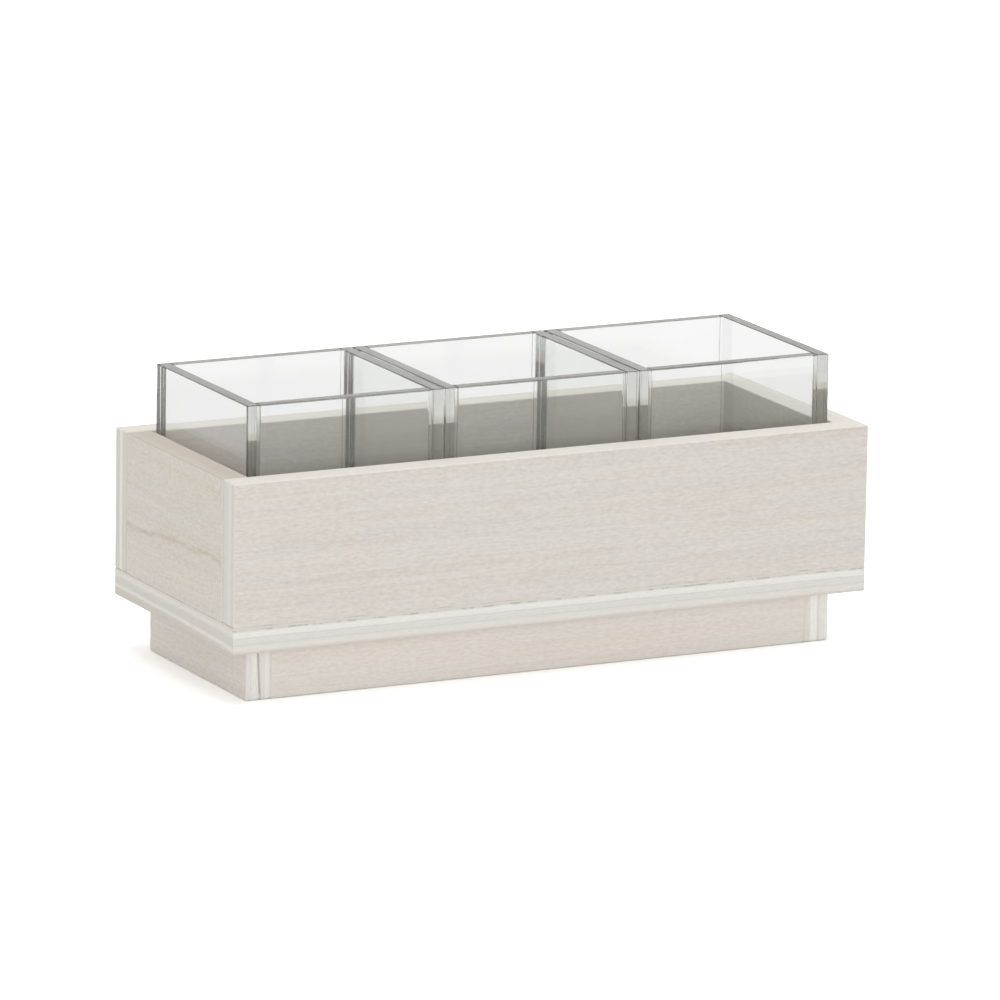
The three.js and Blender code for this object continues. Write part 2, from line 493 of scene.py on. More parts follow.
@dataclass(frozen=True)
class PlywoodEdge:
    """Sawn edge of plywood under the same wash: plies of several tones between dark glue lines.

    Attributes:
        strata: Tones from the back face, at 0, to the show face, at 1.
        long_strata: Tones on the two sides along the grain, where they differ.
        joints: Where the glue lines lie, on the same scale.
        missed: The glue line that the wash has missed in places along those two sides, if there is one.
        sag: How far the lowest ply sinks along the ends, from the high side to the low one, on that scale.
        pore: Colour of the open pores of the end grain.
        capped: Colour of a rim, where the wash covers the plies; darker on the left wall as painted shade.
        dirt: Colour of what sits in the missed line.
        waver: Pattern of the plies' unevenness.
        waver_height: How far the plies waver, on the same scale.
        gaps: Pattern of the stretches that the wash has missed.
        streaks: Pattern of the sawn grain.
        pores: Pattern of the pores.
        side_fade: Depths behind the long sides where their tones start and are full, in metres.
        cap_fade: Depths under the rim where the cover starts and is full, in metres.
    """

    strata: tuple[Stop, ...] = tones(
        (0.00, 210, 203, 192),
        (0.11, 213, 207, 198),
        (0.16, 230, 228, 223),
        (0.30, 228, 226, 221),
        (0.335, 203, 200, 196),
        (0.37, 222, 219, 216),
        (0.54, 224, 221, 218),
        (0.575, 206, 204, 200),
        (0.62, 233, 234, 229),
        (0.94, 236, 237, 232),
        (1.00, 229, 224, 215),
    )
    long_strata: tuple[Stop, ...] = ()
    joints: tuple[float, ...] = (0.335, 0.575)
    missed: float | None = None
    sag: float = 0.0
    pore: Colour = shade(194, 187, 178)
    capped: Colour = shade(233, 228, 219)
    dirt: Colour = shade(172, 164, 153)
    waver: Pattern = Pattern((26, 26, 8))
    waver_height: float = 0.018
    gaps: Pattern = Pattern((5.5, 5.5, 4), 3.0, 0.6)
    streaks: Pattern = Pattern((3.2, 3.2, 0.35), 3.0, 0.6)
    pores: Pattern = Pattern((0.7, 0.7, 0.5), 2.0, 0.6)
    side_fade: Range = (0.9 * MM, 0.6 * MM)
    cap_fade: Range = (1.4 * MM, 0.2 * MM)

    def material(
        self, name: str, grain: Axis, through: Axis, seed: int, span: Range, sides: Range, rim: float | None
    ) -> bpy.types.Material:
        """Makes the edge for one board.

        Args:
            name: The material's name.
            grain: Direction of the face veneer's grain.
            through: Direction of the thickness.
            seed: Picks the board's own pores.
            span: Place of the back face and of the show face along the thickness, in metres.
            sides: Places of the two sides along the grain, in metres.
            rim: Height of the board's upper edge, where it is a rim.

        Returns:
            The material.
        """
        sheet = ShaderSheet(name)
        space = sheet.board_space(grain, through, seed)
        places = sheet.places()
        across = places[third(grain, through)]
        waver = sheet.noise(space, self.waver)
        uneven = sheet.spread(waver, (0.2, 0.8), (-self.waver_height, self.waver_height))
        level = sheet.math("ADD", sheet.spread(places[through], span), uneven)
        colour = sheet.ramp(self.sunk(sheet, level, across, sides), self.strata)
        if self.long_strata:
            colour = self.along_grain(sheet, space, level, across, sides, colour)
        if rim is not None:
            start, full = self.cap_fade
            covered = sheet.spread(places[Axis.Z], (rim - start, rim - full), (0.0, 0.85))
            colour = sheet.mix(covered, colour, self.capped)
        streaks = sheet.noise(space, self.streaks)
        pores = sheet.noise(space, self.pores)
        colour = sheet.mix(sheet.spread(streaks, (0.45, 0.75), (0.0, 0.3)), colour, self.pore)
        colour = sheet.mix(sheet.spread(pores, (0.58, 0.8), (0.0, 0.45)), colour, self.pore)
        return sheet.surface(sheet.principled(
            Base_Color=colour,
            Roughness=sheet.spread(streaks, (0.3, 0.7), (0.66, 0.82)),
            Normal=sheet.bump(sheet.math("ADD", streaks, pores), 0.2, 0.12 * MM),
        ))

    def sunk(self, sheet: ShaderSheet, level: Socket, across: Socket, sides: Range) -> Socket:
        """Lets the plies sag along the ends, towards the low side.

        Args:
            sheet: The material being made.
            level: Place through the thickness, from 0 to 1.
            across: Place across the grain, in metres.
            sides: Places of the two sides along the grain, in metres.

        Returns:
            The place in the plies that shows there.
        """
        if not self.sag:
            return level
        run = sheet.spread(across, (sides[1], sides[0]))
        drop = sheet.math("MULTIPLY", sheet.math("MULTIPLY", run, run), self.sag)
        below = sheet.math("SUBTRACT", 1.0, level)
        return sheet.math("ADD", level, sheet.math("MULTIPLY", drop, below))

    def along_grain(
        self, sheet: ShaderSheet, space: Socket, level: Socket, across: Socket, sides: Range, colour: Socket
    ) -> Socket:
        """Gives the two sides along the grain their own tones, and the line that the wash has missed.

        Args:
            sheet: The material being made.
            space: The board's coordinates.
            level: Place through the thickness, from 0 to 1.
            across: Place across the grain, in metres.
            sides: Places of the two sides, in metres.
            colour: The colour of the ends.

        Returns:
            The colour all round.
        """
        half = (sides[1] - sides[0]) / 2
        start, full = self.side_fade
        from_middle = sheet.math("SUBTRACT", across, (sides[0] + sides[1]) / 2)
        on_side = sheet.spread(sheet.math("ABSOLUTE", from_middle), (half - start, half - full))
        colour = sheet.mix(on_side, colour, sheet.ramp(level, self.long_strata))
        if self.missed is None:
            return colour
        off = sheet.math("ABSOLUTE", sheet.math("SUBTRACT", level, self.missed))
        near = sheet.spread(off, (0.012, 0.04), (1.0, 0.0))
        gaps = sheet.spread(sheet.noise(space, self.gaps), (0.50, 0.58), (0.05, 0.7))
        dashes = sheet.math("MULTIPLY", sheet.math("MULTIPLY", near, gaps), on_side)
        return sheet.mix(dashes, colour, self.dirt)


@dataclass(frozen=True)
class RawPine:
    """Unpainted pine of the hidden glue blocks.

    Attributes:
        early: Colour of the early wood.
        late: Colour of the late wood.
        rings: Pattern of the growth rings.
        fibres: Pattern of the fine fibres.
    """

    early: Colour = shade(222, 196, 152)
    late: Colour = shade(192, 153, 102)
    rings: Pattern = Pattern((180, 2.6, 2.6))
    fibres: Pattern = Pattern((9, 0.4, 0.4), 2.0, 0.6)

    def material(self, name: str, seed: int) -> bpy.types.Material:
        """Makes the pine with its grain upright.

        Args:
            name: The material's name.
            seed: Picks the block's own rings.

        Returns:
            The material.
        """
        sheet = ShaderSheet(name)
        space = sheet.board_space(Axis.Z, Axis.Y, seed)
        fibres = sheet.noise(space, self.fibres)
        stops = ((0.36, self.early), (0.52, self.early), (0.6, self.late), (0.68, self.early))
        colour = sheet.ramp(sheet.noise(space, self.rings), stops)
        colour = sheet.mix(sheet.spread(fibres, (0.4, 0.8), (0.0, 0.3)), colour, self.late)
        return sheet.surface(sheet.principled(
            Base_Color=colour,
            Roughness=sheet.spread(fibres, (0.3, 0.7), (0.6, 0.78)),
            Normal=sheet.bump(fibres, 0.25, 0.15 * MM),
        ))


@dataclass(frozen=True)
class ZincPlate:
    """Bright zinc on the screws and brads, with a faint clouding.

    Attributes:
        bright: Colour of the clean plate.
        dull: Colour of the clouded plate.
        clouds: Pattern of the clouding.
        marks: Pattern of the fine marks.
        seed: Picks the part of the patterns that shows.
    """

    bright: Colour = shade(206, 208, 208)
    dull: Colour = shade(168, 170, 166)
    clouds: Pattern = Pattern((2.4, 1.4, 1.4), 3.0, 0.6)
    marks: Pattern = Pattern((6, 0.15, 0.15))
    seed: int = 5

    def material(self) -> bpy.types.Material:
        """Makes the plated steel.

        Returns:
            The material.
        """
        sheet = ShaderSheet("zinc_plate")
        space = sheet.board_space(Axis.Z, Axis.Y, self.seed)
        clouds = sheet.noise(space, self.clouds)
        return sheet.surface(sheet.principled(
            Base_Color=sheet.mix(sheet.spread(clouds, (0.35, 0.7)), self.bright, self.dull),
            Metallic=1.0,
            Roughness=sheet.spread(clouds, (0.3, 0.7), (0.24, 0.44)),
            Normal=sheet.bump(sheet.noise(space, self.marks), 0.1, 0.03 * MM),
        ))


@dataclass(frozen=True)
class ClearAcrylic:
    """Clear cast sheet: polished all over, hardly tinted, and darker where the light runs along it.

    Attributes:
        clear: Colour that its surface lets through.
        index: Its index of refraction.
        tint: Colour that the sheet leaves in long paths.
        density: How fast it takes the rest, per metre.
        passing: Light that a sheet lets fall through it.
        haze: Pattern of the polish.
        waves: Pattern of the faint waves in the sheet.
    """

    clear: Colour = (0.988, 0.993, 0.99, 1.0)
    index: float = 1.49
    tint: Colour = (0.5, 0.515, 0.455, 1.0)
    density: float = 6.5
    passing: Colour = (0.97, 0.97, 0.97, 1.0)
    haze: Pattern = Pattern((17, 17, 24), 3.0, 0.6)
    waves: Pattern = Pattern((38, 38, 38), 1.0)

    def material(self) -> bpy.types.Material:
        """Makes the acrylic, which lets the light of lamps fall through it.

        Returns:
            The material.
        """
        sheet = ShaderSheet("clear_acrylic")
        place = sheet.add("ShaderNodeTexCoord")
        scaled = sheet.add("ShaderNodeMapping", Vector=place.outputs["Object"], Scale=[1 / MM] * 3)
        space = scaled.outputs[0]
        solid = sheet.principled(
            Base_Color=self.clear,
            Roughness=sheet.spread(sheet.noise(space, self.haze), (0.4, 0.75), (0.002, 0.012)),
            IOR=self.index,
            Transmission_Weight=1.0,
            Normal=sheet.bump(sheet.noise(space, self.waves), 0.05, 0.3 * MM),
        )
        open_way = sheet.add("ShaderNodeBsdfTransparent", Color=self.passing)
        path = sheet.add("ShaderNodeLightPath")
        body = sheet.add("ShaderNodeVolumeAbsorption", Color=self.tint, Density=self.density)
        sheet.feed(sheet.output.inputs["Volume"], body.outputs[0])
        return sheet.surface(sheet.choose(path.outputs["Is Shadow Ray"], solid, open_way))


@dataclass(frozen=True)
class DriedFiller:
    """White filler that has dried in the joints and taken some dirt.

    Attributes:
        clean: Its common colour.
        dirty: Its colour where it is stained.
        stains: Pattern of the dirt.
        grit: Pattern of its grain.
        seed: Picks the part of the patterns that shows.
    """

    clean: Colour = shade(221, 216, 208)
    dirty: Colour = shade(194, 187, 176)
    stains: Pattern = Pattern((7, 7, 5), 3.0, 0.6)
    grit: Pattern = Pattern((0.4, 0.4, 0.4))
    seed: int = 6

    def material(self, name: str) -> bpy.types.Material:
        """Makes the filler.

        Args:
            name: The material's name.

        Returns:
            The material.
        """
        sheet = ShaderSheet(name)
        space = sheet.board_space(Axis.X, Axis.Y, self.seed)
        stained = sheet.spread(sheet.noise(space, self.stains), (0.4, 0.68))
        grit = sheet.noise(space, self.grit)
        return sheet.surface(sheet.principled(
            Base_Color=sheet.mix(stained, self.clean, self.dirty),
            Roughness=sheet.spread(grit, (0.3, 0.7), (0.7, 0.9)),
            Normal=sheet.bump(grit, 0.3, 0.05 * MM),
        ))


class GeometrySheet(NodeSheet):
    """A Geometry Nodes tree with named inputs, which turns into a plain mesh when it is applied."""

    KINDS = {float: "NodeSocketFloat", int: "NodeSocketInt", bpy.types.Material: "NodeSocketMaterial",
             bpy.types.Object: "NodeSocketObject"}

    def __init__(self, name: str, inputs: dict[str, type]) -> None:
        """Starts a tree that takes a mesh and gives a mesh.

        Args:
            name: The tree's name.
            inputs: Names of the inputs after the mesh, and their types.
        """
        super().__init__(bpy.data.node_groups.new(name, "GeometryNodeTree"))
        face = self.tree.interface
        face.new_socket("Geometry", in_out="INPUT", socket_type="NodeSocketGeometry")
        self.sockets = {
            label: face.new_socket(label, in_out="INPUT", socket_type=self.KINDS[kind])
            for label, kind in inputs.items()
        }
        face.new_socket("Geometry", in_out="OUTPUT", socket_type="NodeSocketGeometry")
        self.start = self.add("NodeGroupInput")
        self.end = self.add("NodeGroupOutput")

    def given(self, label: str) -> Socket:
        """The tree's own input of that name."""
        return self.start.outputs[label]

    def attribute(self, name: str, kind: str = "FLOAT") -> Socket:
        """Reads a named attribute of the mesh."""
        node = self.add("GeometryNodeInputNamedAttribute", {"data_type": kind}, Name=name)
        return node.outputs["Attribute"]

    def patches(self, length: str) -> Socket:
        """Adds a noise over the mesh that differs with the input Seed.

        Args:
            length: Name of the input that holds its size.

        Returns:
            The noise's value socket.
        """
        place = self.add("GeometryNodeInputPosition").outputs[0]
        scale = self.math("DIVIDE", 1.0, self.given(length))
        noise = self.add("ShaderNodeTexNoise", {"noise_dimensions": "4D"}, Vector=place, Detail=2.0,
                         W=self.given("Seed"), Scale=scale)
        return noise.outputs[0]

    def finish(self, geometry: Socket, dressing: Iterable[tuple[Socket | None, Socket]]) -> None:
        """Ends the tree in plain geometry with its materials.

        Args:
            geometry: What the tree has made.
            dressing: Pairs of a selection, or None for all of it, and a material's socket.
        """
        geometry = self.add("GeometryNodeRealizeInstances", Geometry=geometry).outputs[0]
        for selection, material in dressing:
            node = self.add("GeometryNodeSetMaterial", Geometry=geometry, Material=material)
            if selection is not None:
                self.feed(node.inputs["Selection"], selection)
            geometry = node.outputs[0]
        self.feed(self.end.inputs[0], geometry)

    def apply(self, piece: bpy.types.Object, **values: Any) -> bpy.types.Object:
        """Runs the tree on a piece and keeps the result as the piece's plain mesh.

        Args:
            piece: The object that the tree works on.
            **values: Values of the named inputs, with underscores for spaces.

        Returns:
            The same object, with its new mesh and no modifier.
        """
        modifier = piece.modifiers.new(self.tree.name, "NODES")
        modifier.node_group = self.tree
        for name, value in values.items():
            modifier[self.sockets[name.replace("_", " ")].identifier] = value
        return settle(piece)


def settle(piece: bpy.types.Object) -> bpy.types.Object:
    """Keeps what an object's modifiers make as its plain mesh.

    Args:
        piece: The object.

    Returns:
        The same object, without modifiers.
    """
    bpy.context.view_layer.update()
    graph = bpy.context.evaluated_depsgraph_get()
    mesh = bpy.data.meshes.new_from_object(piece.evaluated_get(graph))
    mesh.name = piece.name
    piece.modifiers.clear()
    piece.data = mesh
    return piece


def placed(name: str, data: bpy.types.ID) -> bpy.types.Object:
    """Puts a mesh, lamp or camera into the scene.

    Args:
        name: The object's name.
        data: What it holds.

    Returns:
        The new object, at the origin.
    """
    piece = bpy.data.objects.new(name, data)
    bpy.context.scene.collection.objects.link(piece)
    return piece


def shown(name: str, shape: bmesh.types.BMesh) -> bpy.types.Object:
    """Puts a finished shape into the scene, with its faces pointing outwards.

    Args:
        name: The object's name.
        shape: The shape, which is freed.

    Returns:
        The new object, at the origin.
    """
    bmesh.ops.recalc_face_normals(shape, faces=shape.faces)
    mesh = bpy.data.meshes.new(name)
    shape.to_mesh(mesh)
    shape.free()
    return placed(name, mesh)


def loft(shape: bmesh.types.BMesh, rings: Sequence[Sequence[bmesh.types.BMVert]]) -> list[bmesh.types.BMFace]:
    """Spans faces between rings of points.

    Args:
        shape: The shape that holds the points.
        rings: Rings with the same number of points, in order.

    Returns:
        The new faces.
    """
    count = len(rings[0])
    faces = []
    for lower, upper in zip(rings, rings[1:]):
        for index in range(count):
            after = (index + 1) % count
            faces.append(shape.faces.new((lower[index], lower[after], upper[after], upper[index])))
    return faces


def cut(piece: bpy.types.Object, cutter: bpy.types.Object) -> bpy.types.Object:
    """Cuts one closed shape out of another, and removes the cutter.

    Args:
        piece: The object to cut.
        cutter: The object to cut away.

    Returns:
        The cut object.
    """
    modifier = piece.modifiers.new("cut", "BOOLEAN")
    modifier.operation = "DIFFERENCE"
    modifier.solver = "EXACT"
    modifier.object = cutter
    settle(piece)
    bpy.data.objects.remove(cutter)
    return piece


def carved_plies() -> GeometrySheet:
    """Makes the tree that sinks the glue lines into a board's edge and chips its arrises.

    Returns:
        The tree. Its mesh carries the attributes that PlywoodBoard.blank puts on it.
    """
    groove_least = 0.5
    groove_uneven = 1.6
    chip_start = 0.56
    chip_gain = 5.0
    sheet = GeometrySheet("carved_plies", {
        "Glue Line Depth": float, "Chip Depth": float, "Chip Length": float, "Crack Depth": float,
        "Seed": int, "Veneer": bpy.types.Material, "Edge": bpy.types.Material,
    })
    uneven = sheet.patches("Chip Length")
    groove = sheet.math("MULTIPLY", sheet.attribute("glue_line"), sheet.given("Glue Line Depth"))
    depth = sheet.math("ADD", sheet.math("MULTIPLY", uneven, groove_uneven), groove_least)
    groove = sheet.math("MULTIPLY", groove, depth)
    chips = sheet.math("MAXIMUM", sheet.math("SUBTRACT", uneven, chip_start), 0.0)
    chips = sheet.math("MULTIPLY", sheet.math("MULTIPLY", chips, chip_gain), sheet.given("Chip Depth"))
    chips = sheet.math("MULTIPLY", chips, sheet.attribute("arris"))
    crack = sheet.math("MULTIPLY", sheet.attribute("crack"), sheet.given("Crack Depth"))
    sunk = sheet.math("ADD", sheet.math("ADD", groove, chips), crack)
    outward = sheet.attribute("outward", "FLOAT_VECTOR")
    inward = sheet.add("ShaderNodeVectorMath", {"operation": "SCALE"}, Vector=outward,
                       Scale=sheet.math("MULTIPLY", sunk, -1.0))
    carved = sheet.add("GeometryNodeSetPosition", Geometry=sheet.given("Geometry"), Offset=inward.outputs[0])
    sheet.finish(carved.outputs[0], (
        (None, sheet.given("Veneer")),
        (sheet.attribute("edge_face", "BOOLEAN"), sheet.given("Edge")),
    ))
    return sheet


def filled_joints() -> GeometrySheet:
    """Makes the tree that runs a bead of filler along every joint, thin where the filler has missed.

    Returns:
        The tree. Its mesh holds the joints as bare edges, and the bead's least radius as the attribute
        least.
    """
    missed_below = 0.38
    full_above = 0.50
    sheet = GeometrySheet("filled_joints", {
        "Bead Radius": float, "Thinnest": float, "Patch Length": float, "Seed": int,
        "Filler": bpy.types.Material,
    })
    joints = sheet.add("GeometryNodeMeshToCurve", Mesh=sheet.given("Geometry"))
    line = sheet.add("GeometryNodeResampleCurve", {"mode": "LENGTH"}, Curve=joints.outputs[0],
                     Length=FILLER_STEP)
    filled = sheet.add("ShaderNodeMapRange", Value=sheet.patches("Patch Length"), From_Min=missed_below,
                       From_Max=full_above, To_Min=sheet.given("Thinnest"), To_Max=sheet.given("Bead Radius"))
    section = sheet.add("GeometryNodeCurvePrimitiveCircle", Resolution=8, Radius=1.0).outputs[0]
    thickness = sheet.math("MAXIMUM", filled.outputs[0], sheet.attribute("least"))
    bead = sheet.add("GeometryNodeCurveToMesh", Curve=line.outputs[0], Profile_Curve=section,
                     Scale=thickness, Fill_Caps=True)
    sheet.finish(bead.outputs[0], ((None, sheet.given("Filler")),))
    return sheet


def fastener_row() -> GeometrySheet:
    """Makes the tree that sets one fastener on every point, each turned by its own angle.

    Returns:
        The tree.
    """
    sheet = GeometrySheet("fastener_row", {
        "Fastener": bpy.types.Object, "Seed": int, "Plate": bpy.types.Material,
    })
    turn = sheet.add("FunctionNodeRandomValue", {"data_type": "FLOAT_VECTOR"}, Seed=sheet.given("Seed"))
    turn.inputs[1].default_value = (0.0, 0.0, math.tau)
    pattern = sheet.add("GeometryNodeObjectInfo", Object=sheet.given("Fastener"))
    row = sheet.add("GeometryNodeInstanceOnPoints", Points=sheet.given("Geometry"),
                    Instance=pattern.outputs["Geometry"], Rotation=turn.outputs[0])
    sheet.finish(row.outputs[0], ((None, sheet.given("Plate")),))
    return sheet


@dataclass(frozen=True)
class OutlinePoint:
    """A point of a board's outline, seen along its thickness.

    Attributes:
        along: Place along the grain.
        across: Place across the grain.
        out_along: Outward direction along the grain.
        out_across: Outward direction across the grain.
        room: Distance along the side to the nearest corner.
    """

    along: float
    across: float
    out_along: float
    out_across: float
    room: float


def rounded_outline(half_along: float, half_across: float, radius: float) -> list[OutlinePoint]:
    """Walks round a rectangle with rounded corners.

    Args:
        half_along: Half its length.
        half_across: Half its width.
        radius: Radius of the corners.

    Returns:
        The points in order, without a repeated end.
    """
    arc_steps = 3
    points = []
    sides = ((1, 0, half_along, half_across), (0, 1, half_across, half_along),
             (-1, 0, half_along, half_across), (0, -1, half_across, half_along))
    for number, (out_a, out_c, reach, half) in enumerate(sides):
        straight = half - radius
        count = max(1, round(2 * straight / OUTLINE_STEP))
        for index in range(count):
            slide = -straight + 2 * straight * index / count
            points.append(OutlinePoint(out_a * reach - out_c * slide, out_c * reach + out_a * slide,
                                       out_a, out_c, straight - abs(slide)))
        centre_a = out_a * (reach - radius) - out_c * straight
        centre_c = out_c * (reach - radius) + out_a * straight
        for index in range(arc_steps):
            angle = math.radians(90 * (number + index / arc_steps))
            turn_a, turn_c = math.cos(angle), math.sin(angle)
            points.append(OutlinePoint(centre_a + radius * turn_a, centre_c + radius * turn_c,
                                       turn_a, turn_c, 0.0))
    return points


@dataclass(frozen=True)
class EdgeLevel:
    """A loop round a board's edge.

    Attributes:
        height: Distance from the lower face along the thickness.
        inset: Distance inside the outline.
        glue_line: One on a glue line, else zero.
        arris: One where an eased arris meets a face, falling to 0.1 where it meets the edge, else zero.
        crack: Share of an open crack's depth.
        drift: One where the loop wanders with a crack, else zero.
    """

    height: float
    inset: float = 0.0
    glue_line: float = 0.0
    arris: float = 0.0
    crack: float = 0.0
    drift: float = 0.0


@dataclass(frozen=True)
class OpenCrack:
    """A gap between two plies that the filler has missed.

    Attributes:
        place: Where it lies through the thickness, from 0 at the back face to 1 at the show face.
        depth: How deep it goes, in metres.
        width: How wide it opens, in metres.
        drift: How far it wanders through the thickness from the middle of the board to its edge, in metres.
        section: Places across it, as shares of half its width, with the share of its depth at each.
        end_depth: Its depth at the board's corners, in metres.
        end_slope: How fast it deepens from there.
    """

    place: float
    depth: float
    width: float
    drift: float
    section: tuple[Range, ...] = ((-1.0, 0.0), (-0.6, 0.9), (0.6, 1.0), (1.0, 0.0))
    end_depth: float = 0.4 * MM
    end_slope: float = 0.8

    def levels(self, middle: float) -> list[EdgeLevel]:
        """Lists the loops of the crack round its middle height."""
        half = self.width / 2
        return [EdgeLevel(middle + side * half, crack=depth, drift=1.0) for side, depth in self.section]

    def share(self, room: float) -> float:
        """The share of its full depth at some distance from the board's corner."""
        return min(1.0, (self.end_depth + self.end_slope * room) / self.depth)


# Stands in where a board has no crack, because its loops carry no share of one
NO_CRACK = OpenCrack(place=0.5, depth=1.0, width=1.0, drift=0.0)


@dataclass
class PlywoodBoard:
    """One board of white-washed plywood.

    Attributes:
        node: The solid that it stands for.
        grain: Direction of the grain.
        through: Direction of the thickness.
        show_high: Whether the show face is the one on the higher side.
        seed: Picks the board's own figure and chips.
        edge: Finish of its edges.
        veneer: Finish of its faces.
        warmth: Strength of the warm clouds in the veneer.
        has_rim: Whether its upper edge is part of the box's rim.
        streak: A streak in the veneer, if it has one.
        crack: An open crack in the core, if it has one.
        chips: Depth of the chipping along the arrises.
        chip_length: Length of the chips.
        eased: Radius of the arrises.
        corner: Radius of the outline's corners.
        glue_width: Width of the groove at a glue line.
        glue_depth: Depth of that groove.
    """

    node: str
    grain: Axis
    through: Axis
    show_high: bool
    seed: int
    edge: PlywoodEdge = PlywoodEdge()
    veneer: WhitewashedVeneer = WhitewashedVeneer()
    warmth: float = 0.5
    has_rim: bool = False
    streak: MineralStreak | None = None
    crack: OpenCrack | None = None
    chips: float = 0.55 * MM
    chip_length: float = 6.0 * MM
    eased: float = 0.5 * MM
    corner: float = 0.9 * MM
    glue_width: float = 0.3 * MM
    glue_depth: float = 0.06 * MM

    @property
    def across(self) -> Axis:
        """The direction in the face, across the grain."""
        return third(self.grain, self.through)

    def from_below(self, place: float) -> float:
        """Turns a place from the back face into one from the lower face."""
        return place if self.show_high else 1 - place

    def levels(self, thickness: float) -> list[EdgeLevel]:
        """Lists the loops round the edge, from the lower face to the upper one.

        Args:
            thickness: The board's thickness.

        Returns:
            The loops in order.
        """
        arris_steps = 3
        arris_fade = 0.3
        low = []
        for step in range(arris_steps + 1):
            angle = math.radians(90 * step / arris_steps)
            low.append(EdgeLevel(self.eased * (1 - math.cos(angle)), self.eased * (1 - math.sin(angle)),
                                 arris=1.0 - arris_fade * step))
        high = [EdgeLevel(thickness - level.height, level.inset, arris=level.arris)
                for level in reversed(low)]
        half = self.glue_width / 2
        middle = []
        for joint in self.edge.joints:
            at = self.from_below(joint) * thickness
            middle += [EdgeLevel(at - half), EdgeLevel(at, glue_line=1.0), EdgeLevel(at + half)]
        if self.crack:
            middle += self.crack.levels(self.from_below(self.crack.place) * thickness)
        middle.sort(key=lambda level: level.height)
        return low + middle + high

    def blank(self) -> bpy.types.Object:
        """Builds the board with its rounded outline and the loops that the plies are carved from.

        Returns:
            The blank, with the attributes outward, glue_line, arris, crack and edge_face.
        """
        low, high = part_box(self.node)
        middle = (low + high) / 2
        half = (high - low) / 2
        along, across, through = self.grain.value, self.across.value, self.through.value
        outline = rounded_outline(half[along], half[across], self.corner)
        crack = self.crack or NO_CRACK
        shape = bmesh.new()
        outward = shape.verts.layers.float_vector.new("outward")
        values = {name: shape.verts.layers.float.new(name) for name in ("glue_line", "arris", "crack")}
        on_edge = shape.faces.layers.bool.new("edge_face")
        rings = []
        for level in self.levels(2 * half[through]):
            ring = []
            for point in outline:
                place = middle.copy()
                place[along] += point.along - level.inset * point.out_along
                place[across] += point.across - level.inset * point.out_across
                wander = level.drift * crack.drift * point.across / half[across]
                place[through] = low[through] + level.height + wander
                direction = Vector((0.0, 0.0, 0.0))
                direction[along] = point.out_along
                direction[across] = point.out_across
                vertex = shape.verts.new(place)
                vertex[outward] = direction
                vertex[values["glue_line"]] = level.glue_line
                vertex[values["arris"]] = level.arris
                vertex[values["crack"]] = level.crack * crack.share(point.room)
                ring.append(vertex)
            rings.append(ring)
        for quad in loft(shape, rings):
            quad[on_edge] = True
        shape.faces.new(list(reversed(rings[0])))
        shape.faces.new(rings[-1])
        return shown(f"{self.node}_plywood", shape)

    def build(self, carving: GeometrySheet) -> bpy.types.Object:
        """Builds and dresses the board.

        Args:
            carving: The tree that carves the plies.

        Returns:
            The finished piece, not yet riding on a body.
        """
        low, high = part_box(self.node)
        span = (low[self.through.value], high[self.through.value])
        if not self.show_high:
            span = (span[1], span[0])
        sides = (low[self.across.value], high[self.across.value])
        rim = high.z if self.has_rim else None
        common = (self.grain, self.through, self.seed)
        veneer = self.veneer.material(f"{self.node}_veneer", *common, self.warmth, self.streak)
        edge = self.edge.material(f"{self.node}_edge", *common, span, sides, rim)
        depth = self.crack.depth if self.crack else 0.0
        return carving.apply(
            self.blank(), Glue_Line_Depth=self.glue_depth, Chip_Depth=self.chips,
            Chip_Length=self.chip_length, Crack_Depth=depth, Seed=self.seed, Veneer=veneer, Edge=edge,
        )


def settle_on(piece: bpy.types.Object, body: str, nodes: Sequence[str]) -> None:
    """Hands a finished piece to its body and reports it.

    Args:
        piece: The piece.
        body: The body that it moves with.
        nodes: The solids that it stands for.
    """
    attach(piece, body)
    if nodes:
        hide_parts(*nodes)
    log.info("%s: %d faces for %s", piece.name, len(piece.data.polygons), ", ".join(nodes) or "detail alone")


def dress_solid(node: str, material: bpy.types.Material) -> None:
    """Gives a solid that stays its finish.

    Args:
        node: The solid's name.
        material: The finish.
    """
    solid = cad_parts[node]
    solid.data.materials.clear()
    solid.data.materials.append(material)
    log.info("%s: keeps its solid", node)


# On the ends a pale line lies low in the base board, and a pale ply under its upper face.
# Along the front and back a pale ply lies over a grey core, under the line that the wash has missed.
BASE_EDGE = PlywoodEdge(
    strata=tones(
        (0.00, 212, 207, 197),
        (0.10, 214, 210, 200),
        (0.20, 215, 210, 200),
        (0.27, 218, 214, 204),
        (0.31, 224, 220, 210),
        (0.355, 238, 234, 225),
        (0.385, 241, 237, 229),
        (0.42, 236, 232, 224),
        (0.46, 226, 222, 215),
        (0.51, 220, 216, 209),
        (0.66, 223, 219, 212),
        (0.71, 225, 221, 214),
        (0.77, 232, 228, 221),
        (0.84, 237, 233, 225),
        (0.89, 234, 230, 221),
        (1.00, 226, 221, 211),
    ),
    long_strata=tones(
        (0.00, 209, 202, 192),
        (0.07, 213, 207, 197),
        (0.12, 223, 220, 212),
        (0.21, 226, 224, 217),
        (0.31, 222, 220, 214),
        (0.35, 213, 212, 207),
        (0.39, 220, 219, 214),
        (0.56, 222, 221, 216),
        (0.60, 214, 213, 209),
        (0.635, 231, 231, 226),
        (0.79, 233, 233, 228),
        (0.87, 222, 220, 213),
        (0.90, 215, 210, 202),
        (1.00, 216, 211, 203),
    ),
    joints=(0.35, 0.60, 0.885),
    missed=0.885,
    sag=0.229,
)
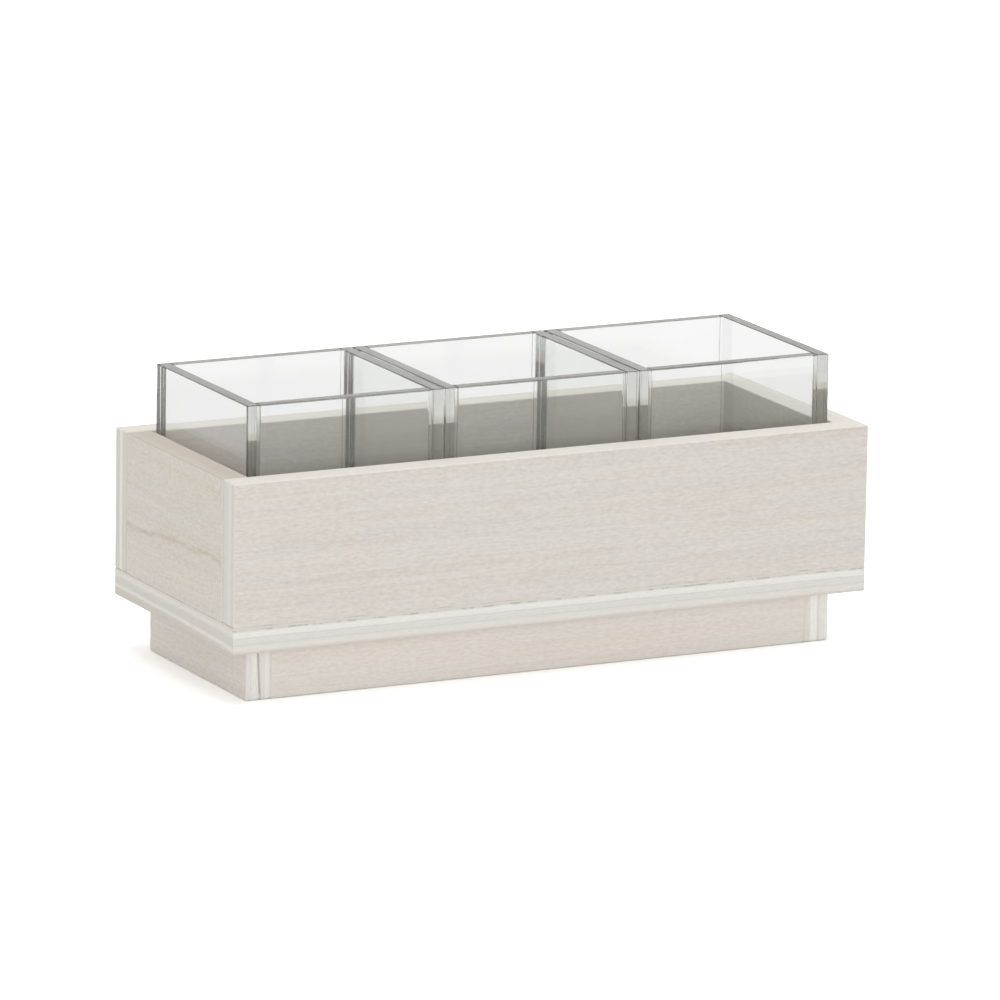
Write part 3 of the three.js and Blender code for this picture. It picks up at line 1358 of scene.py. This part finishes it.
# The front wall's ends: a pale core between two grey glue lines
FRONT_EDGE = PlywoodEdge(
    strata=tones(
        (0.00, 214, 208, 198),
        (0.08, 220, 216, 208),
        (0.34, 227, 223, 217),
        (0.40, 221, 218, 212),
        (0.47, 229, 228, 222),
        (0.72, 230, 229, 222),
        (0.80, 220, 217, 211),
        (0.90, 224, 221, 214),
        (1.00, 222, 216, 207),
    ),
    joints=(0.40, 0.80),
)
# The back wall's ends: one bright ply in the middle
BACK_EDGE = PlywoodEdge(
    strata=tones(
        (0.00, 222, 215, 203),
        (0.30, 223, 217, 205),
        (0.36, 226, 221, 212),
        (0.41, 240, 237, 230),
        (0.58, 241, 238, 231),
        (0.63, 220, 217, 211),
        (0.82, 221, 218, 213),
        (1.00, 226, 223, 217),
    ),
    joints=(0.36, 0.63),
)
# Painted shade: the left wall's rim is written darker than the other rims, so that it reads as dark as that
# wall's side
LEFT_EDGE_PAINTED_DARK_RIM = PlywoodEdge(capped=shade(196, 186, 172))
# The left rail's ends: bright plies on both sides of the open crack
LEFT_RAIL_EDGE = PlywoodEdge(
    strata=tones(
        (0.00, 226, 222, 214),
        (0.06, 238, 235, 230),
        (0.15, 243, 241, 237),
        (0.28, 235, 233, 228),
        (0.40, 232, 229, 225),
        (0.60, 243, 241, 235),
        (0.67, 246, 244, 238),
        (0.75, 239, 236, 231),
        (0.83, 234, 230, 227),
        (0.92, 238, 234, 230),
        (1.00, 233, 227, 220),
    ),
    joints=(0.28, 0.83),
)
# The right rail's ends: a bright ply beside a dark glue line
RIGHT_RAIL_EDGE = PlywoodEdge(
    strata=tones(
        (0.00, 229, 225, 215),
        (0.20, 232, 229, 220),
        (0.26, 241, 238, 231),
        (0.31, 249, 246, 241),
        (0.50, 249, 247, 243),
        (0.56, 240, 236, 231),
        (0.60, 224, 219, 213),
        (0.65, 239, 234, 228),
        (0.79, 244, 241, 236),
        (0.84, 236, 233, 229),
        (0.89, 244, 240, 236),
        (1.00, 240, 235, 230),
    ),
    joints=(0.60, 0.84),
)
# Painted light: the rails' veneer is written lighter than the walls' to make up for the shade under the box's
# overhang
RAIL_VENEER_PAINTED_LIGHTER = WhitewashedVeneer(
    shadow=shade(216, 209, 200),
    body=shade(230, 224, 216),
    light=shade(240, 236, 230),
)
# Painted light: the end walls' veneer is written lighter than the front's to make up for the frontal light
# reaching their sides less
END_VENEER_PAINTED_LIGHTER = WhitewashedVeneer(
    shadow=shade(207, 199, 188),
    body=shade(220, 214, 204),
    light=shade(231, 227, 218),
)


@dataclass(frozen=True)
class Countersinks:
    """Cones that make room for the heads of screws.

    Attributes:
        lift: Height of a cone's middle over the underside of its screw's head.
        flare: How much wider than the head its lower end is.
        point: Radius of its upper end.
        depth: Its height.
        sides: Number of its sides.
    """

    lift: float = 1.0 * MM
    flare: float = 2.4 * MM
    point: float = 0.9 * MM
    depth: float = 4.4 * MM
    sides: int = 32

    def cutter(self, nodes: Sequence[str]) -> bpy.types.Object:
        """Makes the cones for some screws.

        Args:
            nodes: The solids of the screws.

        Returns:
            The cones, as one cutter.
        """
        shape = bmesh.new()
        for node in nodes:
            low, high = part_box(node)
            head = (high.x - low.x) / 2
            place = Matrix.Translation(((low.x + high.x) / 2, (low.y + high.y) / 2, low.z + self.lift))
            bmesh.ops.create_cone(shape, cap_ends=True, segments=self.sides, radius1=head + self.flare,
                                  radius2=self.point, depth=self.depth, matrix=place)
        return shown("countersinks", shape)


@dataclass
class Carcass:
    """The open box: a base board with four walls on it.

    Attributes:
        boards: The walls and the base board, in the order of building.
    """

    boards: tuple[PlywoodBoard, ...] = (
        PlywoodBoard("front_panel", Axis.X, Axis.Y, False, 1, FRONT_EDGE, warmth=0.55, has_rim=True),
        PlywoodBoard("back_panel", Axis.X, Axis.Y, True, 2, BACK_EDGE, warmth=0.6, has_rim=True),
        PlywoodBoard("left_end_panel", Axis.Y, Axis.X, False, 3, LEFT_EDGE_PAINTED_DARK_RIM, END_VENEER_PAINTED_LIGHTER, has_rim=True,
                     streak=MineralStreak(level=65.3 * MM, slope=-0.055)),
        PlywoodBoard("right_end_panel", Axis.Y, Axis.X, True, 4, veneer=END_VENEER_PAINTED_LIGHTER, has_rim=True,
                     streak=MineralStreak(level=84.0 * MM, slope=0.04)),
        PlywoodBoard("base_board", Axis.X, Axis.Z, True, 5, BASE_EDGE, eased=0.25 * MM, corner=0.4 * MM),
    )

    def build(self, carving: GeometrySheet) -> None:
        """Builds the five boards, and sinks the screws' heads into the base board.

        Args:
            carving: The tree that carves the plies.
        """
        for board in self.boards:
            piece = board.build(carving)
            if board.node == "base_board":
                cut(piece, Countersinks().cutter(WALL_SCREWS))
            settle_on(piece, STAND, [board.node])


@dataclass
class Plinth:
    """The set-back frame under the box, with glue blocks in its corners.

    Attributes:
        boards: The four rails, in the order of building.
        pine: Finish of the blocks.
        first_block: Seed of the first block.
    """

    boards: tuple[PlywoodBoard, ...] = (
        PlywoodBoard("plinth_front_rail", Axis.X, Axis.Y, False, 6, veneer=RAIL_VENEER_PAINTED_LIGHTER),
        PlywoodBoard("plinth_back_rail", Axis.X, Axis.Y, True, 7, veneer=RAIL_VENEER_PAINTED_LIGHTER),
        PlywoodBoard("plinth_left_rail", Axis.Y, Axis.X, False, 8, LEFT_RAIL_EDGE, RAIL_VENEER_PAINTED_LIGHTER,
                     crack=OpenCrack(place=0.485, depth=1.5 * MM, width=1.2 * MM, drift=-0.7 * MM)),
        PlywoodBoard("plinth_right_rail", Axis.Y, Axis.X, True, 9, RIGHT_RAIL_EDGE, RAIL_VENEER_PAINTED_LIGHTER),
    )
    pine: RawPine = RawPine()
    first_block: int = 20

    def build(self, carving: GeometrySheet) -> None:
        """Builds the four rails and dresses the blocks.

        Args:
            carving: The tree that carves the plies.
        """
        for board in self.boards:
            settle_on(board.build(carving), STAND, [board.node])
        for seed, node in enumerate(nodes_with("corner_block"), self.first_block):
            dress_solid(node, self.pine.material(f"{node}_pine", seed))


@dataclass
class JointFiller:
    """Filler in the joints that show: under the walls, and at the upright corners of box and plinth.

    Attributes:
        radius: Radius of a bead that is only wiped in.
        thinnest: Radius where the filler has missed.
        inset: Depth of that bead's middle behind the faces.
        full: Radius of a bead that fills its joint, along the front and back and on the plinth.
        full_inset: Depth of that bead's middle behind the faces.
        bend: Radius of the bead's line at the box's corners.
        patch: Length of the filled and the missed stretches.
        clear: Distance that the upright beads keep from a board's ends.
        seed: Picks where the filler has missed.
        box_finish: Finish of the beads on the box.
        plinth_finish: Finish of the beads on the plinth.
    """

    radius: float = 0.31 * MM
    thinnest: float = 0.1 * MM
    inset: float = 0.36 * MM
    full: float = 0.47 * MM
    full_inset: float = 0.48 * MM
    bend: float = 0.55 * MM
    patch: float = 7.0 * MM
    clear: float = 0.5 * MM
    seed: int = 4
    box_finish: DriedFiller = DriedFiller()
    plinth_finish: DriedFiller = DriedFiller(clean=shade(232, 227, 218), dirty=shade(214, 209, 199))

    def under_walls(self) -> list[tuple[Vector, float]]:
        """Walks round the box between its walls and its base board.

        Returns:
            The points of a closed line, each with the least radius of the bead there.
        """
        low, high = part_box("base_board")
        front_low, front_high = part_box("front_panel")
        level = (high.z + front_low.z) / 2
        half_along = (high.x - low.x) / 2 - self.inset
        half_across = (high.y - low.y) / 2 - self.full_inset
        ring = []
        for point in rounded_outline(half_along, half_across, self.bend):
            under_long_wall = abs(point.across) > abs(front_high.y)
            least = max(self.full * abs(point.out_across), self.radius * under_long_wall)
            ring.append((Vector((point.along, point.across, level)), least))
        return ring

    def upright(self, covered: str, covering: str, through: Axis, inset: float) -> list[Vector]:
        """Runs up the joint where one board's end meets another board's inner face.

        Args:
            covered: The board whose end is covered.
            covering: The board that covers it.
            through: Direction of the covering board's thickness.
            inset: Depth of the bead's middle behind the faces.

        Returns:
            The two ends of the line.
        """
        low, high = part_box(covering)
        end_low, end_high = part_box(covered)
        across, outer = through.value, third(through, Axis.Z).value
        place = Vector((0.0, 0.0, 0.0))
        if low[across] < 0:
            place[across] = (high[across] + end_low[across]) / 2
        else:
            place[across] = (low[across] + end_high[across]) / 2
        if end_low[outer] < 0:
            place[outer] = end_low[outer] + inset
        else:
            place[outer] = end_high[outer] - inset
        return [Vector((place.x, place.y, level)) for level in (low.z + self.clear, high.z - self.clear)]

    def run(
        self, tree: GeometrySheet, name: str, points: Sequence[Vector], edges: Sequence[tuple[int, int]],
        leasts: Sequence[float], filler: DriedFiller
    ) -> None:
        """Runs beads along some joints, as one piece.

        Args:
            tree: The tree that makes the beads.
            name: The piece's name.
            points: Points of the joints.
            edges: Pairs of points that are joined.
            leasts: The least radius of the bead at each point.
            filler: Finish of the beads.
        """
        mesh = bpy.data.meshes.new(name)
        mesh.from_pydata(points, edges, [])
        mesh.attributes.new("least", "FLOAT", "POINT").data.foreach_set("value", leasts)
        piece = placed(name, mesh)
        tree.apply(piece, Bead_Radius=self.radius, Thinnest=self.thinnest, Patch_Length=self.patch,
                   Seed=self.seed, Filler=filler.material(name))
        settle_on(piece, STAND, [])

    def build(self) -> None:
        """Fills the joints of the box and those of the plinth."""
        tree = filled_joints()
        ring = self.under_walls()
        points = [point for point, least in ring]
        leasts = [least for point, least in ring]
        edges = [(index, (index + 1) % len(ring)) for index in range(len(ring))]
        corners = [(end, side) for end in ("left", "right") for side in ("front", "back")]
        for end, side in corners:
            edges.append((len(points), len(points) + 1))
            points += self.upright(f"{end}_end_panel", f"{side}_panel", Axis.Y, self.inset)
            leasts += [0.0, 0.0]
        self.run(tree, "box_filler", points, edges, leasts, self.box_finish)
        points = []
        for end, side in corners:
            points += self.upright(f"plinth_{side}_rail", f"plinth_{end}_rail", Axis.X, self.full_inset)
        edges = [(index, index + 1) for index in range(0, len(points), 2)]
        self.run(tree, "plinth_filler", points, edges, [self.full] * len(points), self.plinth_finish)


@dataclass
class Screws:
    """Countersunk screws with a cross recess, driven upwards from below.

    Attributes:
        rounding: Width and height of the rounding at the head's edge.
        rim: Height at which the cone under the head starts.
        head_depth: Height at which that cone ends.
        shank: Radius of the shank at the bottom of the thread.
        neck: Plain length between the cone and the thread.
        thread: How far the thread stands out.
        pitch: Distance between its turns.
        flank: Share of the pitch that each side of a turn takes.
        tip: Length of the pointed end.
        recess: Length, width and depth of the cross recess.
        sides: Number of sides round the screw.
        rows: Name and seed of each row of screws, with its solids.
    """

    rounding: Range = (0.25 * MM, 0.15 * MM)
    rim: float = 0.4 * MM
    head_depth: float = 2.4 * MM
    shank: float = 1.25 * MM
    neck: float = 1.0 * MM
    thread: float = 0.4 * MM
    pitch: float = 1.6 * MM
    flank: float = 0.3
    tip: float = 4.0 * MM
    recess: tuple[float, float, float] = (3.8 * MM, 0.8 * MM, 1.3 * MM)
    sides: int = 28
    rows: tuple[tuple[str, int, tuple[str, ...]], ...] = (
        ("wall_screws", 3, tuple(WALL_SCREWS)),
        ("block_screws", 8, tuple(BLOCK_SCREWS)),
    )

    def profile(self, length: float, head: float) -> list[Range]:
        """Draws one side of a screw, from its head to the start of its tip.

        Args:
            length: Its length.
            head: Radius of its head.

        Returns:
            The radius and the height of each point.
        """
        width, height = self.rounding
        points = [(head - width, 0.0), (head, height), (head, self.rim), (self.shank, self.head_depth)]
        level = self.head_depth + self.neck
        while level < length - self.tip:
            points += [(self.shank, level), (self.shank + self.thread, level + self.flank * self.pitch),
                       (self.shank, level + 2 * self.flank * self.pitch)]
            level += self.pitch
        points.append((self.shank, length - self.tip))
        return points

    def pattern(self, length: float, head: float) -> bpy.types.Object:
        """Turns one screw with its head at the origin and its tip upwards.

        Args:
            length: Its length.
            head: Radius of its head.

        Returns:
            The screw.
        """
        shape = bmesh.new()
        turns = [math.tau * index / self.sides for index in range(self.sides)]
        rings = []
        for radius, level in self.profile(length, head):
            rings.append([shape.verts.new((radius * math.cos(turn), radius * math.sin(turn), level))
                          for turn in turns])
        loft(shape, rings)
        shape.faces.new(list(reversed(rings[0])))
        point = shape.verts.new((0.0, 0.0, length))
        for index, vertex in enumerate(rings[-1]):
            shape.faces.new((vertex, rings[-1][(index + 1) % self.sides], point))
        screw = shown("screw_pattern", shape)
        long, wide, deep = self.recess
        for size in ((long, wide), (wide, long)):
            bar = bmesh.new()
            bmesh.ops.create_cube(bar, size=1.0)
            bmesh.ops.scale(bar, vec=(*size, 2 * deep), verts=bar.verts)
            cut(screw, shown("recess", bar))
        return screw

    @staticmethod
    def points(nodes: Sequence[str], name: str) -> bpy.types.Object:
        """Marks where the heads of the screws are.

        Args:
            nodes: The solids of the screws.
            name: The object's name.

        Returns:
            An object with one point for each head.
        """
        mesh = bpy.data.meshes.new(name)
        boxes = [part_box(node) for node in nodes]
        mesh.from_pydata([((lo.x + hi.x) / 2, (lo.y + hi.y) / 2, lo.z) for lo, hi in boxes], [], [])
        return placed(name, mesh)

    def build(self, plate: bpy.types.Material) -> None:
        """Sets both kinds of screw in their places.

        Args:
            plate: Finish of the screws.
        """
        row = fastener_row()
        for name, seed, nodes in self.rows:
            low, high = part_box(nodes[0])
            pattern = self.pattern(high.z - low.z, (high.x - low.x) / 2)
            piece = row.apply(self.points(nodes, name), Fastener=pattern, Seed=seed, Plate=plate)
            bpy.data.objects.remove(pattern)
            settle_on(piece, STAND, nodes)


@dataclass
class AcrylicJar:
    """An open square jar, cemented from a floor and four walls.

    Attributes:
        body: The body that it moves with, which also starts its solids' names.
        polished: Width of the polished arrises.
        arris_steps: Number of faces across an arris.
        cement: How far a wall reaches through the cement, into the sheets that it meets.
        sheets: The names of its sheets.
    """

    body: str
    polished: float = 0.55 * MM
    arris_steps: int = 3
    cement: float = 0.15 * MM
    sheets: tuple[str, ...] = ("floor", "left_wall", "right_wall", "front_wall", "back_wall")

    def sheet(self, node: str) -> bpy.types.Object:
        """Cuts one sheet to size and polishes its arrises.

        Args:
            node: The solid that it stands for.

        Returns:
            The sheet.
        """
        low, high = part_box(node)
        if not node.endswith("floor"):
            low.z -= self.cement
        if node.endswith(("front_wall", "back_wall")):
            low.x -= self.cement
            high.x += self.cement
        shape = bmesh.new()
        bmesh.ops.create_cube(shape, size=1.0)
        bmesh.ops.scale(shape, vec=high - low, verts=shape.verts)
        bmesh.ops.translate(shape, vec=(low + high) / 2, verts=shape.verts)
        bmesh.ops.bevel(shape, geom=shape.edges[:], offset=self.polished, offset_type="OFFSET",
                        segments=self.arris_steps, profile=0.5, affect="EDGES", clamp_overlap=True)
        return shown(f"{node}_acrylic", shape)

    def build(self, acrylic: bpy.types.Material) -> None:
        """Builds and dresses the jar.

        Args:
            acrylic: Finish of the sheets.
        """
        for name in self.sheets:
            node = f"{self.body}_{name}"
            piece = self.sheet(node)
            piece.data.materials.append(acrylic)
            settle_on(piece, self.body, [node])


@dataclass(frozen=True)
class SoftLamp:
    """A square soft lamp.

    Attributes:
        name: Its name.
        place: Where it hangs.
        power: Its power in watts.
        size: Its side.
    """

    name: str
    place: tuple[float, float, float]
    power: float
    size: float

    def hang(self, target: Vector) -> None:
        """Hangs the lamp so that it faces a point.

        Seen through the acrylic, lamps would burn out parts of the jars' edges against the white floor, so
        they don't show in it.

        Args:
            target: The point.
        """
        data = bpy.data.lights.new(self.name, "AREA")
        data.energy = self.power
        data.size = self.size
        lamp = placed(self.name, data)
        facing = (target - Vector(self.place)).to_track_quat("-Z", "Y").to_matrix().to_4x4()
        lamp.matrix_world = Matrix.Translation(self.place) @ facing
        lamp.visible_transmission = False


@dataclass
class Studio:
    """Plain soft light, a pale floor and the camera of the photograph.

    Attributes:
        azimuth: Direction of the camera, in degrees from the front towards the left.
        elevation: Height of the camera, in degrees.
        roll: Turn of the camera about its view, in degrees.
        distance: Distance of the camera from its target.
        target: Point on the camera's axis.
        lens: Focal length for that sensor, in millimetres.
        sensor: Width of the camera's sensor, in millimetres.
        farthest: How far the camera sees.
        sky: Strength of the surroundings as a light.
        lamps: The soft lamps.
        lamp_target: Point that the lamps face.
        floor_half: Half the side of the floor.
        floor_drop: How far the floor lies under the part.
        floor_lit: How pale the floor is for the light that it throws back on the part.
        floor_in_glass: How pale it is where the acrylic shows it.
        floor_seen: How pale it is to the camera.
        bounces: How often light may bounce, which the thick acrylic edges need.
    """

    azimuth: float = 26.817
    elevation: float = 12.945
    roll: float = 0.949
    distance: float = 4.383
    target: tuple[float, float, float] = (0.0041, 0.0, 0.0706)
    lens: float = 331.67
    sensor: float = 36.0
    farthest: float = 50.0
    sky: float = 0.69
    lamps: tuple[SoftLamp, ...] = (
        SoftLamp("fill", (-0.9, -2.2, 0.5), 11.2, 1.4),
        SoftLamp("back_fill", (1.9, 1.2, 0.6), 7.0, 1.2),
        SoftLamp("overhead", (0.1, -0.3, 2.0), 12.0, 1.6),
    )
    lamp_target: tuple[float, float, float] = (0.0, 0.0, 0.07)
    floor_half: float = 12.0
    floor_drop: float = 0.15 * MM
    floor_lit: float = 0.95
    floor_in_glass: float = 1.0
    floor_seen: float = 1.4
    bounces: int = 32

    def place_camera(self) -> None:
        """Adds the camera."""
        data = bpy.data.cameras.new("camera")
        data.lens = self.lens
        data.sensor_width = self.sensor
        data.clip_end = self.farthest
        camera = placed("camera", data)
        side = math.radians(self.azimuth)
        up = math.radians(self.elevation)
        back = Vector((-math.sin(side) * math.cos(up), -math.cos(side) * math.cos(up), math.sin(up)))
        facing = (-back).to_track_quat("-Z", "Y").to_matrix().to_4x4()
        spin = Matrix.Rotation(math.radians(self.roll), 4, "Z")
        camera.matrix_world = Matrix.Translation(Vector(self.target) + back * self.distance) @ facing @ spin
        bpy.context.scene.camera = camera

    @staticmethod
    def in_glass(sheet: NodeSheet, path: bpy.types.Node) -> Socket:
        """Tells whether a ray comes by way of the acrylic.

        Args:
            sheet: The tree being made.
            path: Its Light Path node.

        Returns:
            A socket that is one for such a ray, else zero.
        """
        return sheet.math("MAXIMUM", path.outputs["Is Glossy Ray"], path.outputs["Is Transmission Ray"])

    def lay_floor(self) -> None:
        """Adds the floor, which looks white and still takes the object's shadow."""
        shape = bmesh.new()
        bmesh.ops.create_grid(shape, x_segments=1, y_segments=1, size=self.floor_half)
        floor = shown("floor", shape)
        floor.data.transform(Matrix.Translation((0.0, 0.0, -self.floor_drop)))
        sheet = ShaderSheet("studio_floor")
        path = sheet.add("ShaderNodeLightPath")
        lit, in_glass, seen = (
            sheet.add("ShaderNodeBsdfDiffuse", Color=(level, level, level, 1.0))
            for level in (self.floor_lit, self.floor_in_glass, self.floor_seen)
        )
        shader = sheet.choose(self.in_glass(sheet, path), lit, in_glass)
        shader = sheet.choose(path.outputs["Is Camera Ray"], shader, seen)
        floor.data.materials.append(sheet.surface(shader))

    def light(self) -> None:
        """Adds the soft lamps and the pale surroundings, which look white."""
        world = bpy.data.worlds.new("studio")
        bpy.context.scene.world = world
        world.use_nodes = True
        sheet = NodeSheet(world.node_tree)
        path = sheet.add("ShaderNodeLightPath")
        lit = sheet.add("ShaderNodeBackground", Color=WHITE, Strength=self.sky)
        seen = sheet.add("ShaderNodeBackground", Color=WHITE, Strength=1.0)
        is_seen = sheet.math("MAXIMUM", path.outputs["Is Camera Ray"], self.in_glass(sheet, path))
        sheet.add("ShaderNodeOutputWorld", Surface=sheet.choose(is_seen, lit, seen).outputs[0])
        for lamp in self.lamps:
            lamp.hang(Vector(self.lamp_target))

    def build(self) -> None:
        """Builds the studio."""
        scene = bpy.context.scene
        scene.view_settings.view_transform = "Standard"
        scene.cycles.max_bounces = self.bounces
        scene.cycles.glossy_bounces = self.bounces
        scene.cycles.transmission_bounces = self.bounces
        self.place_camera()
        self.lay_floor()
        self.light()
        log.info("studio: camera, floor and light")


def main() -> None:
    """Builds the stand in order."""
    logging.basicConfig(level=logging.INFO, format="%(name)s %(message)s")
    carving = carved_plies()
    plate = ZincPlate().material()
    Carcass().build(carving)
    Plinth().build(carving)
    JointFiller().build()
    Screws().build(plate)
    for node in nodes_with("_brad_"):
        dress_solid(node, plate)
    acrylic = ClearAcrylic().material()
    for body in ("left_jar", "centre_jar", "right_jar"):
        AcrylicJar(body).build(acrylic)
    Studio().build()


if __name__ == "__main__":
    main()
